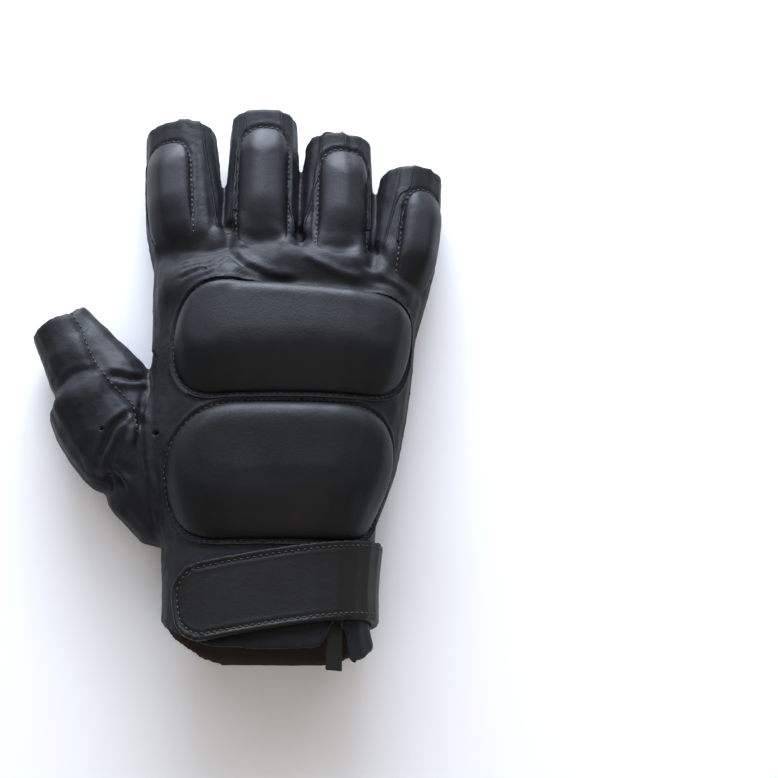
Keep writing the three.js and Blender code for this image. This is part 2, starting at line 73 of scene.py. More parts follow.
def linear(colour):
    """The linear red, green, blue and alpha of an sRGB hex colour."""
    parts = [int(colour[i:i + 2], 16) / 255 for i in (1, 3, 5)]
    return (*(c / 12.92 if c <= 0.04045 else ((c + 0.055) / 1.055) ** 2.4 for c in parts), 1)


def new_material(name):
    """A material and its shader, whose nodes are added one by one."""
    made = bpy.data.materials.new(name)
    made.use_nodes = True
    return made, made.node_tree.nodes["Principled BSDF"]


def add(material, kind, links=None, **settings):
    """Adds one node with its settings, and sets or links the sockets that are named."""
    made = material.node_tree.nodes.new(kind)
    for name, value in settings.items():
        setattr(made, name, value)
    for name, value in (links or {}).items():
        plug(material, made, name, value)
    return made


def plug(material, made, name, value):
    """Sets a socket to a number or colour, or links it to a (node, output)."""
    socket = made.inputs[name]
    if isinstance(value, tuple) and hasattr(value[0], "outputs"):
        material.node_tree.links.new(value[0].outputs[value[1]], socket)
    else:
        socket.default_value = value


def placed(name, data):
    """A mesh or a light put into the scene as an object."""
    made = bpy.data.objects.new(name, data)
    bpy.context.scene.collection.objects.link(made)
    return made


def object_from(name, points, faces):
    """A new object made from lists of points and of faces."""
    mesh = bpy.data.meshes.new(name)
    mesh.from_pydata([tuple(p) for p in points], [], [tuple(f) for f in faces])
    return placed(name, mesh)


paper, paper_shader = new_material("matt_paper")
plug(paper, paper_shader, "Base Color", linear(PAPER_COLOUR))
plug(paper, paper_shader, "Roughness", PAPER_ROUGHNESS)
edge = TABLE_SIZE * MM / 2
table_corners = [(-edge, -edge, 0), (edge, -edge, 0), (edge, edge, 0), (-edge, edge, 0)]
table = object_from("table", table_corners, [(0, 1, 2, 3)])
table.data.materials.append(paper)

# Studio light. Two cool softboxes stand beyond the fingertips, a low one that gives the finger pads their
# gleam and a wide high one. A weak warm one stands over the wrist, and a pale room fills the rest.
ROOM_COLOUR = "#fbf7f2"
ROOM_STRENGTH = 0.42
SOFTBOXES = [
    {"name": "beyond_fingers", "azimuth": 182, "height": 16, "away": 640, "wide": 460, "high": 300,
     "watts": 10, "colour": "#e2edff"},
    {"name": "high_beyond_fingers", "azimuth": 180, "height": 42, "away": 900, "wide": 2200, "high": 420,
     "watts": 12, "colour": "#d8e6ff"},
    {"name": "over_wrist", "azimuth": 20, "height": 60, "away": 900, "wide": 700, "high": 700,
     "watts": 1.3, "colour": "#fff0e2"},
]
room = bpy.data.worlds.new("room")
room.use_nodes = True
sky = room.node_tree.nodes["Background"]
plug(room, sky, "Color", linear(ROOM_COLOUR))
plug(room, sky, "Strength", ROOM_STRENGTH)
bpy.context.scene.world = room
for softbox in SOFTBOXES:
    turn, rise = math.radians(softbox["azimuth"]), math.radians(softbox["height"])
    away = Vector((math.sin(turn) * math.cos(rise), -math.cos(turn) * math.cos(rise), math.sin(rise)))
    light = bpy.data.lights.new(softbox["name"], "AREA")
    light.energy = softbox["watts"]
    light.shape = "RECTANGLE"
    light.size = softbox["wide"] * MM
    light.size_y = softbox["high"] * MM
    light.color = linear(softbox["colour"])[:3]
    lamp = placed(softbox["name"], light)
    lamp.location = away * softbox["away"] * MM
    lamp.rotation_euler = away.to_track_quat("Z", "Y").to_euler()

# Leather shell: seven panels of black cowhide, 1.6 mm thick, cut out and sewn edge to edge into a hollow
# glove. They are grown here as one skin from the frame's solids, which is pierced, creased and pulled,
# and then parted at its seams.
SIDE_WALLS = ["side_wall_index_middle", "side_wall_middle_ring", "side_wall_ring_little"]
PANELS = ["back_panel", "palm_panel", *SIDE_WALLS, "thumb_outer_panel", "thumb_inner_panel"]
SEAM_CLOSING = 0.22
SKIN_VOXEL = 0.8
SKIN_ROUNDS = 45

# All places are given in millimetres from the middle of the cuff's edge, at the underside of the palm's
# leather. This is where that point lies from the frame's origin.
CUFF_TO_FRAME = (16.13, -96.96, 1.3)


def spot(x, y, z):
    """A point given in millimetres from the middle of the cuff's edge, in the frame's metres."""
    return Vector((x + CUFF_TO_FRAME[0], y + CUFF_TO_FRAME[1], z + CUFF_TO_FRAME[2])) * MM


def points_of(mesh):
    """A mesh's points, one to a row."""
    found = np.empty(len(mesh.vertices) * 3)
    mesh.vertices.foreach_get("co", found)
    return found.reshape(-1, 3)


def normals_of(mesh):
    """A mesh's normals, one to a row, in the order of its points."""
    found = np.empty(len(mesh.vertices) * 3, np.float32)
    mesh.vertex_normals.foreach_get("vector", found)
    return found.reshape(-1, 3).astype(float)


def put_points(mesh, points):
    """Moves a mesh's points to new places."""
    mesh.vertices.foreach_set("co", points.ravel())
    mesh.update()


def solid(node):
    """The mesh of one of the frame's solids."""
    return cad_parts[node].data


def copy_of_nodes(name, nodes, swell):
    """One new object made from copies of the frame's solids, each swollen by some millimetres."""
    joined = bmesh.new()
    for node in nodes:
        part = bmesh.new()
        part.from_mesh(solid(node))
        bmesh.ops.remove_doubles(part, verts=part.verts, dist=1e-6)
        part.normal_update()
        moved = [v.co + v.normal * swell * MM for v in part.verts]
        for v, place in zip(part.verts, moved):
            v.co = place
        copy = bpy.data.meshes.new(node)
        part.to_mesh(copy)
        joined.from_mesh(copy)
        bpy.data.meshes.remove(copy)
        part.free()
    mesh = bpy.data.meshes.new(name)
    joined.to_mesh(mesh)
    joined.free()
    return placed(name, mesh)


def bake_modifiers(made):
    """Replaces an object's mesh by what its modifiers make of it."""
    shaped = made.evaluated_get(bpy.context.evaluated_depsgraph_get())
    mesh = bpy.data.meshes.new_from_object(shaped)
    made.modifiers.clear()
    old = made.data
    made.data = mesh
    bpy.data.meshes.remove(old)


def remesh(made, voxel):
    """Grows a new even mesh over an object, with faces of about one voxel in millimetres."""
    change = made.modifiers.new("skin", "REMESH")
    change.mode = "VOXEL"
    change.voxel_size = voxel * MM
    bake_modifiers(made)


# Each round of smoothing pulls the points in by the first share and pushes them out by the second.
RELAX_SHARES = (0.5, -0.52)


def relax(mesh, rounds, free=1.0):
    """Smooths a mesh without shrinking it; free says how far each point takes part."""
    points = points_of(mesh)
    ends = np.empty(len(mesh.edges) * 2, np.int32)
    mesh.edges.foreach_get("vertices", ends)
    a, b = ends.reshape(-1, 2).T
    count = len(points)
    met = np.maximum(np.bincount(a, minlength=count) + np.bincount(b, minlength=count), 1)
    for push in RELAX_SHARES * rounds:
        mean = np.stack([
            np.bincount(a, points[b, k], count) + np.bincount(b, points[a, k], count) for k in range(3)
        ], axis=1) / met[:, None]
        points += push * (mean - points) * np.reshape(free, (-1, 1))
    put_points(mesh, points)


def tree_of(mesh):
    """A search tree of a mesh's faces, which finds the nearest point and what a ray hits."""
    return BVHTree.FromPolygons([v.co for v in mesh.vertices], [tuple(p.vertices) for p in mesh.polygons])


def step(values, low, high):
    """Rises softly from 0 at low to 1 at high."""
    share = np.clip((values - low) / (high - low), 0, 1)
    return share * share * (3 - 2 * share)


def bell(values, middle, width):
    """Falls softly from 1 at the middle to nothing about two widths away."""
    return np.exp(-(((values - middle) / width) ** 2))


# Vent holes are punched through the leather at these plan places before it is creased.
VENT_RADIUS = 0.75
VENT_SIDES = 12
PUNCH_LENGTH = 7
VENTS = {
    "back": [(-19, 134.4), (-27, 132.6), (-39.9, 74.6), (-69.4, 84.2), (-61.1, 76.4)],
    "palm": [(-35, 163), (-38, 171), (-9, 166), (18, 164), (43, 146), (44, 154), (45.5, 162),
             (-30.7, 63), (-32.8, 72.7)],
}

# Rays that lay a plan place on the leather start well clear of it, above the back or below the palm.
RAY_START = {"back": 80, "palm": -20}


def laid_on(tree, plan, side):
    """Plan points dropped on to the back of the glove, or raised to its palm, with the normals there."""
    way = Vector((0, 0, -1 if side == "back" else 1))
    found = []
    for x, y in plan:
        place, normal = tree.ray_cast(spot(x, y, RAY_START[side]), way)[:2]
        if place is not None:
            found.append((place, normal))
    return found


def punch_set(tree):
    """One round punch for each vent, square to the leather there."""
    cutter = bmesh.new()
    for side, plan in VENTS.items():
        for place, normal in laid_on(tree, plan, side):
            turn = normal.to_track_quat("Z", "Y").to_matrix().to_4x4()
            bmesh.ops.create_cone(
                cutter, cap_ends=True, segments=VENT_SIDES, radius1=VENT_RADIUS * MM,
                radius2=VENT_RADIUS * MM, depth=PUNCH_LENGTH * MM,
                matrix=Matrix.Translation(place) @ turn,
            )
    mesh = bpy.data.meshes.new("punches")
    cutter.to_mesh(mesh)
    cutter.free()
    return placed("punches", mesh)


skin = copy_of_nodes("skin", PANELS, SEAM_CLOSING)
remesh(skin, SKIN_VOXEL)
relax(skin.data, SKIN_ROUNDS)
bare_tree = tree_of(skin.data)
punches = punch_set(bare_tree)
cut = skin.modifiers.new("vents", "BOOLEAN")
cut.operation = "DIFFERENCE"
cut.solver = "MANIFOLD"
cut.object = punches
bake_modifiers(skin)
bpy.data.objects.remove(punches)

# The thumb's seam bows away from the fingers between these ends. Bow is how far at its middle, and reach
# is how wide a band of leather shifts with it.
THUMB_SEAM = {"from": (-72.4, 115.8), "to": (-51.4, 85.0), "bow": 3.0, "reach": 9.0}
LEAST_BOW = 0.1


def straightened(points, tree):
    """Where each point would be on the skin if the thumb's seam ran straight, as in the frame."""
    start, end = (np.array(spot(*THUMB_SEAM[k], 0))[:2] for k in ("from", "to"))
    length = np.linalg.norm(end - start)
    way = (end - start) / length
    beside = np.array([way[1], -way[0]])
    offset = points[:, :2] - start
    bow = THUMB_SEAM["bow"] * np.sin(math.pi * np.clip(offset @ way / length, 0, 1))
    bow = bow * bell(offset @ beside / MM, 0, THUMB_SEAM["reach"])
    moved = points.copy()
    moved[:, :2] -= bow[:, None] * beside * MM
    for i in np.flatnonzero(bow > LEAST_BOW):
        moved[i] = tree.find_nearest(moved[i])[0]
    return moved


def lines_at(mesh, field, level, known):
    """Joins the places where a field over a mesh's points crosses a level into lines, longest first."""
    mesh.calc_loop_triangles()
    corners = np.empty(len(mesh.loop_triangles) * 3, np.int32)
    mesh.loop_triangles.foreach_get("vertices", corners)
    corners = corners.reshape(-1, 3)
    above = field > level
    crossed = above[corners].any(1) & ~above[corners].all(1) & known[corners].all(1)
    links = {}
    for triangle in corners[crossed]:
        pairs = [(triangle[0], triangle[1]), (triangle[1], triangle[2]), (triangle[2], triangle[0])]
        ends = [tuple(sorted(pair)) for pair in pairs if above[pair[0]] != above[pair[1]]]
        links.setdefault(ends[0], []).append(ends[1])
        links.setdefault(ends[1], []).append(ends[0])
    points = points_of(mesh)
    lines = []
    left = set(links)
    while left:
        start = next((k for k in left if len(links[k]) == 1), None) or min(left)
        chain = [start]
        left.discard(start)
        while True:
            onward = [k for k in links[chain[-1]] if k in left]
            if not onward:
                break
            chain.append(onward[0])
            left.discard(onward[0])
        shares = [(level - field[a]) / (field[b] - field[a]) for a, b in chain]
        line = np.array([points[a] + s * (points[b] - points[a]) for (a, b), s in zip(chain, shares)])
        if len(links[chain[-1]]) > 1 and start in links[chain[-1]]:
            line = np.vstack([line, line[:1]])
        lines.append(line)
    return sorted(lines, key=len, reverse=True)


EVENING_ROUNDS = 6


def evened(line, spacing, rounds=EVENING_ROUNDS):
    """A line smoothed and set out again at even steps in millimetres."""
    closed = np.allclose(line[0], line[-1])
    for _ in range(rounds):
        middle = (line[:-2] + 2 * line[1:-1] + line[2:]) / 4
        if closed:
            seam = (line[-2] + 2 * line[0] + line[1]) / 4
            line = np.vstack([seam, middle, seam])
        else:
            line = np.vstack([line[:1], middle, line[-1:]])
    run = np.concatenate([[0], np.cumsum(np.linalg.norm(np.diff(line, axis=0), axis=1))]) / MM
    count = max(2, int(round(run[-1] / spacing)))
    steps = np.linspace(0, run[-1], count + 1)
    return np.stack([np.interp(steps, run, line[:, k]) for k in range(3)], axis=1)


def distances(points, mesh, reach):
    """How far each point is from a solid's surface in millimetres, or reach where it is further."""
    found = np.full(len(points), float(reach))
    tree, corners = tree_of(mesh), points_of(mesh)
    low, high = corners.min(0) - reach * MM, corners.max(0) + reach * MM
    for i in np.flatnonzero(np.all((points > low) & (points < high), axis=1)):
        distance = tree.find_nearest(points[i], reach * MM)[3]
        if distance is not None:
            found[i] = distance / MM
    return found


# The seams of the shell. Each point of the skin belongs to the panel that it is nearest to, and the
# distance to the next panel is the distance to the seam between them.
SEAM_REACH = 4.0
skin_points = points_of(skin.data)
seam_points = straightened(skin_points, bare_tree)
to_panel = np.stack([distances(seam_points, solid(panel), SEAM_REACH) for panel in PANELS])
own_panel = to_panel.argmin(0)
on_back = own_panel == PANELS.index("back_panel")
to_seam = np.sort(to_panel, axis=0)[1]

# The hollows for the hand, the four fingers and the thumb, each as a flat sheet along its middle, from one
# end to the other and half as wide as it says. They tell the outside of the leather from its inside.
HOLLOWS = [
    {"from": (-4, -30, 17), "to": (0, 142, 15), "half": 29},
    {"from": (-36, 125, 14), "to": (-40.5, 200, 10), "half": 3},
    {"from": (-8.4, 125, 15), "to": (-8.9, 215, 10), "half": 2},
    {"from": (17.5, 125, 15), "to": (17.9, 210, 10), "half": 2},
    {"from": (36, 118, 13), "to": (45.5, 190, 10), "half": 1.5},
    {"from": (-35, 52, 13), "to": (-82, 122, 11), "half": 3},
]


def away_from_hollows(points):
    """The direction from the nearest hollow's middle sheet to each point."""
    best = np.full(len(points), 1e9)
    away = np.zeros((len(points), 3))
    for hollow in HOLLOWS:
        start, end = np.array(spot(*hollow["from"])), np.array(spot(*hollow["to"]))
        run = end - start
        along = np.clip((points - start) @ run / (run @ run), 0, 1)
        beside = points - start - along[:, None] * run
        across = np.array([run[1], -run[0], 0]) / np.hypot(run[0], run[1])
        shift = np.clip(beside @ across, -hollow["half"] * MM, hollow["half"] * MM)
        beside -= shift[:, None] * across
        far = np.linalg.norm(beside, axis=1)
        nearer = far < best
        best[nearer] = far[nearer]
        away[nearer] = beside[nearer]
    return away / np.maximum(np.linalg.norm(away, axis=1), 1e-9)[:, None]


RAW_EDGE_FADE = 3


def dots(first, second):
    """How far each direction of one list agrees with the same one of another, from -1 to 1."""
    return np.einsum("ij,ij->i", first, second)


def outward(points, normals):
    """Normals turned to point out of the glove, fading to nothing round the raw edges of the leather."""
    facing = dots(normals, away_from_hollows(points))
    return normals * np.clip(facing * RAW_EDGE_FADE, -1, 1)[:, None]


def smooth_line(corners, spacing):
    """A Catmull-Rom curve through corners, as points about one spacing apart."""
    corners = np.array(corners, float)
    longer = np.vstack([2 * corners[0] - corners[1], corners, 2 * corners[-1] - corners[-2]])
    made = []
    for a, b, c, d in zip(longer, longer[1:], longer[2:], longer[3:]):
        count = max(2, int(np.linalg.norm(c - b) / spacing))
        bend, twist = 2 * a - 5 * b + 4 * c - d, 3 * b - a - 3 * c + d
        for t in np.linspace(0, 1, count, endpoint=False):
            made.append(0.5 * (2 * b + (c - a) * t + bend * t * t + twist * t ** 3))
    return np.array([*made, corners[-1]])


# Creases, ridges and folds of the leather: the side that they are on, their kind, their height and width
# in millimetres, and the plan places that they run through. A fold stands up on its left as it runs, and
# goes under on its right. The wide forms come first, and the narrow reliefs are laid on what they make.
FORMS = [
    # The valley between the knuckle pad and the finger bases, and the finger bases
    ("back", "crease", 3.2, 6.0, [(-12, 134), (-4, 130.5), (10, 129), (24, 128), (36, 125)]),
    ("back", "ridge", 0.5, 6.0, [(-17, 144), (-6, 143), (8, 142.5), (20, 140.5), (30, 137)]),
    ("back", "crease", 1.4, 4.0, [(-50, 142.5), (-44, 142), (-34, 141.5), (-24, 142), (-17, 142)]),
    ("back", "ridge", 2.8, 7.0, [(-47, 127), (-38, 128), (-28, 128.5), (-20, 129), (-12, 127.5)]),
    # The notches that run into the hand from between the fingers
    ("back", "crease", 1.9, 2.8, [(-20.5, 141), (-20.5, 145), (-20.7, 150), (-21, 156)]),
    ("back", "crease", 1.9, 2.8, [(4.8, 141), (4.8, 145), (4.6, 150), (4.4, 156)]),
    ("back", "crease", 1.9, 2.8, [(29.5, 133), (30.2, 137), (30.8, 142), (31.2, 148)]),
    # The step in the thumb's outline behind its narrower end, and the one at its heel
    ("back", "crease", 0.8, 5.0, [(-84, 92), (-74, 97.5), (-64, 99)]),
    ("back", "ridge", 1.6, 7.0, [(-80, 84), (-70, 88), (-60, 88)]),
    ("back", "crease", 2.2, 4.5, [(-66, 57), (-60, 58.5), (-53, 58)]),
]
RELIEFS = [
    # Folds between the knuckle pad and the fingers
    ("back", "fold", 1.2, 2.2, [(-19, 143), (-16, 137.5), (-11, 133.4), (-4, 130.6), (6, 129.8)]),
    ("back", "ridge", 0.9, 1.6, [(5, 140), (11, 136.2), (19, 132.6), (28, 130.5)]),
    ("back", "crease", 0.7, 0.9, [(-40, 134.5), (-33, 136.4), (-26, 137.8), (-19, 139.5)]),
    ("back", "crease", 0.7, 0.9, [(-38, 128.5), (-32, 131.5), (-26, 133), (-19, 138)]),
    ("back", "crease", 0.6, 0.8, [(-28, 129), (-24, 132), (-20, 137)]),
    ("back", "crease", 0.6, 0.8, [(-36, 132.5), (-31, 134.5), (-24, 135.5)]),
    ("back", "ridge", 0.6, 1.1, [(-20, 138), (-17, 134), (-12, 131.5), (-6, 129.5)]),
    ("back", "ridge", 0.8, 2.2, [(30, 134), (36, 131), (43, 127)]),
    ("back", "crease", 0.5, 1.2, [(31, 130), (37, 128), (43, 124)]),
    # The fan of folds at the thumb's root, from the end of the thumb's seam
    ("back", "crease", 1.0, 1.3, [(-51, 83.5), (-49, 80.2), (-47.5, 77)]),
    ("back", "crease", 1.3, 1.1, [(-51.3, 83.5), (-54.6, 80), (-58.2, 76.4), (-60.8, 69.4), (-62.5, 64.1)]),
    ("back", "ridge", 0.8, 1.3, [(-51.2, 80.5), (-55, 75), (-58.6, 69), (-62, 60)]),
    ("back", "crease", 0.8, 1.4, [(-52.5, 77), (-55, 70), (-56.5, 61)]),
    ("back", "ridge", 1.1, 2.4, [(-50.6, 79), (-52.2, 71), (-52, 62)]),
    ("back", "ridge", 0.9, 1.0, [(-59.5, 63), (-56, 63), (-52.8, 59.8), (-51, 56.5)]),
    ("back", "crease", 0.8, 1.1, [(-61, 61.5), (-56.5, 61.2), (-53.6, 57.6), (-52.6, 54)]),
    ("back", "crease", 0.6, 1.5, [(-80, 91), (-73, 97), (-64, 98.5)]),
    ("back", "fold", 0.9, 1.4,
     [(-46.7, 96.5), (-47.5, 88.9), (-47.3, 80), (-46.3, 69.4), (-44, 51.1), (-41, 37.4)]),
    ("back", "crease", 1.2, 1.4, [(-60.5, 96), (-56, 95.8), (-52.8, 95.3), (-46.9, 96.2)]),
    ("back", "ridge", 0.9, 1.7, [(-57.5, 92.6), (-52, 92.6), (-47.2, 93.6)]),
    # The back of the hand beside the pads, and the cuff
    ("back", "ridge", 0.7, 1.2, [(-43.5, 62), (-42, 52), (-39.5, 42), (-35, 32)]),
    ("back", "crease", 0.5, 2.2, [(-36, 87.5), (-24, 85), (-8, 84), (14, 83.6), (34, 85.5)]),
    ("back", "crease", 0.6, 1.8, [(-41, 70), (-38, 58), (-37, 44)]),
]

# How a relief stands across its line, in shares of its width: a crease has a low lip on both sides, and a
# fold leans over. Every relief fades in and out over a share of its length.
RELIEF_SPACING = 0.8
RELIEF_REACH = 3
CREASE_LIP = {"height": 0.35, "at": 1.9, "width": 0.8}
FOLD_LEAN = 1.6
RELIEF_FADE = 0.2


def relief_heights(points, tree, reliefs):
    """The height in millimetres that creases, ridges and folds give to each point."""
    heights = np.zeros(len(points))
    for side, kind, height, width, corners in reliefs:
        line = np.array([hit[0] for hit in laid_on(tree, smooth_line(corners, RELIEF_SPACING), side)])
        reach = RELIEF_REACH * width * MM
        near = np.all((points > line.min(0) - reach) & (points < line.max(0) + reach), axis=1)
        index = np.flatnonzero(near)
        offsets = points[index, None, :] - line[None, :, :]
        squares = np.einsum("ijk,ijk->ij", offsets, offsets)
        nearest = squares.argmin(1)
        away = np.sqrt(squares[np.arange(len(index)), nearest]) / MM / width
        run = np.gradient(line, axis=0)[nearest]
        beside = offsets[np.arange(len(index)), nearest]
        turn = np.sign(run[:, 0] * beside[:, 1] - run[:, 1] * beside[:, 0])
        share = nearest / (len(line) - 1)
        ends = step(share, 0, RELIEF_FADE) * (1 - step(share, 1 - RELIEF_FADE, 1))
        if kind == "crease":
            lips = CREASE_LIP["height"] * bell(away, CREASE_LIP["at"], CREASE_LIP["width"])
            shape = lips - bell(away, 0, CREASE_LIP["width"])
        elif kind == "ridge":
            shape = bell(away, 0, 1)
        else:
            shape = turn * FOLD_LEAN * away * bell(away, 0, 1)
        heights[index] += height * shape * ends
    return heights


# The wide forms are raised first.
out = outward(skin_points, normals_of(skin.data))
form = relief_heights(skin_points, bare_tree, FORMS)
put_points(skin.data, skin_points + out * form[:, None] * MM)

# Where the leather is then pulled out of its plain shape: at which plan place, by how much, how far round
# it, and on which side of the slit if only on one. The edge rounds smooth the raw edges alone.
PULL_ROUNDS = 4
EDGE_ROUNDS = 16
PULLS = [
    # The heel of the thumb, the thumb's outer side, its mouth, and the leather between thumb and hand
    {"at": (-60.8, 58.0), "by": (2.4, 1.8), "reach": (3.2, 3.2)},
    {"at": (-82.6, 89.5), "by": (1.8, -0.4), "reach": (3.2, 3.2)},
    {"at": (-73.6, 118.5), "by": (2.5, -4.2), "reach": (4.5, 5)},
    {"at": (-43.5, 74.0), "by": (-5.2, 0), "reach": (5, 15)},
    # The flap right of the slit: its corner hangs low, its left side leans in and its right side stands out
    {"at": (25.4, -1.0), "by": (0, -7.5), "reach": (4.0, 10), "side": 1},
    {"at": (22.6, 9.0), "by": (-2.1, 0), "reach": (4, 5.5), "side": 1},
    {"at": (31.5, 3.0), "by": (2.8, 0), "reach": (4, 8), "side": 1},
    # The corner left of the slit is cut back, where the tape shows
    {"at": (18.7, 0), "by": (0, 8.5), "reach": (3.2, 7.6), "side": -1},
]
SLIT_EDGE = {"across": 21.8, "above": 20}
loose = (points_of(skin.data) - np.array(spot(0, 0, 0))) / MM
beside_slit = np.sign(loose[:, 0] - SLIT_EDGE["across"])
beside_slit *= (loose[:, 2] > SLIT_EDGE["above"]) & on_back
pulled = points_of(skin.data)
for pull in PULLS:
    across, along = (bell(loose[:, k], pull["at"][k], pull["reach"][k]) for k in (0, 1))
    share = across * along
    share *= beside_slit == pull["side"] if "side" in pull else 1
    pulled[:, :2] += share[:, None] * np.array(pull["by"]) * MM
put_points(skin.data, pulled)
raw_edges = 1 - np.abs(dots(normals_of(skin.data), out)) ** 0.5
relax(skin.data, PULL_ROUNDS)
relax(skin.data, EDGE_ROUNDS, raw_edges)

formed_tree = tree_of(skin.data)
formed_points = points_of(skin.data)
out = outward(formed_points, normals_of(skin.data))
outer_side = dots(normals_of(skin.data), out) > 0
height = relief_heights(formed_points, formed_tree, RELIEFS)

# The leather's seams stand as a groove between two turned edges. The roll of each edge stands up at this
# distance from the seam, and is this wide.
SEAM_DEPTH = 0.4
SEAM_ROLL = 0.3
SEAM_ROLL_AT = 1.1
SEAM_WIDTH = 0.6
height += SEAM_ROLL * bell(to_seam, SEAM_ROLL_AT, SEAM_WIDTH) * on_back
height -= SEAM_DEPTH * bell(to_seam, 0, SEAM_WIDTH)

# A pad is stitched down along a row this far outside its foam. The row is smoothed over some rounds, more
# for the two big pads. A finger pad's row is drawn out along the finger until it runs from one plan height
# to another, and its groove fades out over a stretch at its lower end, where the pad runs into the hand.
PADS = ["index_pad", "middle_pad", "ring_pad", "little_pad", "knuckle_pad", "back_pad"]
FINGER_PADS = PADS[:4]
PAD_REACH = 5.0
STITCH_ROW_OFF_PAD = 1.0
PAD_GROOVE = 0.6
PAD_WELT = 0.6
PAD_WELT_OFF_ROW = 1.2
PAD_WELT_START = 0.5
ROW_REACH = 3
ROW_ROUNDS = {"knuckle_pad": 110, "back_pad": 190}
ROW_ENDS = {
    "index_pad": (139, 186.5), "middle_pad": (138.5, 192.3),
    "ring_pad": (135, 183.2), "little_pad": (125, 168),
}
ROW_DROP = 5
SEAM_FADE = (1, 8)


def line_distances(points, line, reach):
    """How far each point is from a closely set line in millimetres, or reach where it is further."""
    found = np.full(len(points), float(reach))
    low, high = line.min(0) - reach * MM, line.max(0) + reach * MM
    for i in np.flatnonzero(np.all((points > low) & (points < high), axis=1)):
        found[i] = min(reach, np.sqrt(((line - points[i]) ** 2).sum(1).min()) / MM)
    return found


def row_shifts(row, pad):
    """How far each point of a pad's row moves along its finger, for the row to end where it should."""
    if pad not in ROW_ENDS:
        return np.zeros((len(row), 3))
    along = (row[:, 1] - spot(0, 0, 0).y) / MM
    low, high = ROW_ENDS[pad]
    change = low + (along - along.min()) * (high - low) / np.ptp(along) - along
    way = np.linalg.svd(row - row.mean(0))[2][0]
    return change[:, None] * MM * way / way[1]


to_pad = {pad: distances(skin_points, solid(pad), PAD_REACH) for pad in PADS}
pad_rows = {}
for pad, distance in to_pad.items():
    row = lines_at(skin.data, distance, STITCH_ROW_OFF_PAD, distance < PAD_REACH)[0]
    row = evened(row, RELIEF_SPACING, ROW_ROUNDS.get(pad, EVENING_ROUNDS))
    settled = []
    for place, shift in zip(row, row_shifts(row, pad)):
        normal = formed_tree.find_nearest(place)[1]
        above = Vector(place + shift) + normal * ROW_DROP * MM
        settled.append(formed_tree.ray_cast(above, -normal)[0])
    pad_rows[pad] = np.array([hit for hit in settled if hit is not None])
    to_row = line_distances(formed_points, pad_rows[pad], ROW_REACH)
    fade = 1
    if pad in FINGER_PADS:
        fade = step((formed_points[:, 1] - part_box(pad)[0].y) / MM, *SEAM_FADE)
    outside = step(distance, STITCH_ROW_OFF_PAD, STITCH_ROW_OFF_PAD + PAD_WELT_START)
    welt = PAD_WELT * bell(to_row, PAD_WELT_OFF_ROW, SEAM_WIDTH) * outside
    height += fade * (welt - PAD_GROOVE * bell(to_row, 0, SEAM_WIDTH))

# Soft wrinkles, as pairs of size and depth. Close to pads and seams the leather is tight, and they have
# only a share of their depth.
WRINKLE_SIZES = [(7.0, 0.22), (3.2, 0.13)]
TIGHT_SHARE = 0.25
TIGHT_REACH = {"pad": 1.5, "seam": 0.5}


def wrinkles(points, size):
    """Soft folds of one size in millimetres, from -1 to 1 at each point."""
    scale = 1 / (size * MM)
    return np.array([noise.noise(Vector(p) * scale) for p in points])


nearest_pad = np.min(list(to_pad.values()), axis=0)
open_leather = step(nearest_pad, TIGHT_REACH["pad"], PAD_REACH)
open_leather *= step(to_seam, TIGHT_REACH["seam"], SEAM_REACH)
for size, depth in WRINKLE_SIZES:
    looseness = TIGHT_SHARE + (1 - TIGHT_SHARE) * open_leather
    height += depth * wrinkles(formed_points, size) * looseness
put_points(skin.data, formed_points + out * height[:, None] * MM)
relax(skin.data, 1)

# Dyed leather is drawn from real sizes in millimetres: cells of grain, the pores between them, soft creases
# and faint patches of dye that gleam a little more or less. The cells of real cowhide are about 0.4 mm
# across, which is one pixel here, so they are drawn two to three times as coarse.
PORE_SHARE = 0.45
PORE_DEPTH = 0.03
GRAIN_DEPTH = 0.06
CREASE_SIZE = 3.5
PATCH_SIZE = 14
PATCH_RANGE = (0.3, 0.7)
PATCH_GLOSS = (-0.05, 0.07)
LEATHER_IOR = 1.5
LEATHER_GLOSS = 0.2
MIX_TINTS = (6, 7)
MIX_RESULT = 2


